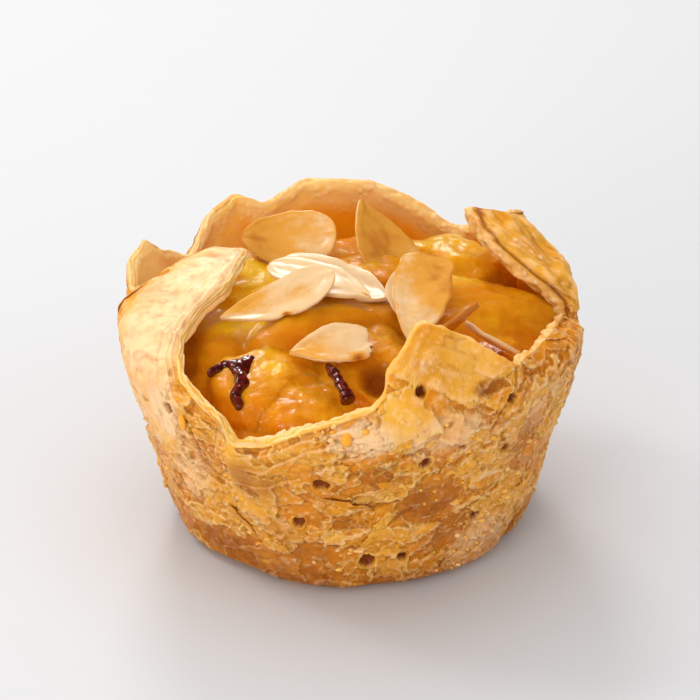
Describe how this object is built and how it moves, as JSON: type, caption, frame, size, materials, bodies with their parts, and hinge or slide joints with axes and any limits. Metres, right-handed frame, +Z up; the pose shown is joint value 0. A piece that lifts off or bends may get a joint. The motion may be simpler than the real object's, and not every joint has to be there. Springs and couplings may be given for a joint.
{
  "type": "apple pie",
  "caption": "Muffin-sized open apple pie: a flaky pastry case with folded-in corners, filled with cooked apple and topped with almond slices.",
  "frame": {"origin": "middle of the flat underside of the pastry case", "axes": "+Z up out of the pie; -Y towards the front, where the rim dips lowest and the pointed corner beside it stands highest; +X to the right"},
  "size_m": [0.075, 0.0745, 0.0478],
  "materials": {
    "pastry": "baked flaky pastry, golden, dry, with browner layers under the torn flakes",
    "apple": "cooked apple in clear amber syrup, wet and glossy",
    "almond": "flaked almond, cream, toasted brown at its edges",
    "dark_peel": "caramelised peel, dark red-brown, sticky gloss"
  },
  "bodies": {
    "root": {"pastry_case": "pastry", "apple_filling": "apple", "almond_slice_back_left": "almond", "almond_slice_left": "almond", "almond_slice_middle": "almond", "almond_slice_under_middle": "almond", "almond_slice_front": "almond", "almond_slice_back_right": "almond", "almond_slice_right": "almond", "almond_slice_under_right": "almond", "almond_slice_toasted": "almond", "almond_slice_edge": "almond", "dark_peel_left": "dark_peel", "dark_peel_right": "dark_peel"}
  },
  "joints": []
}
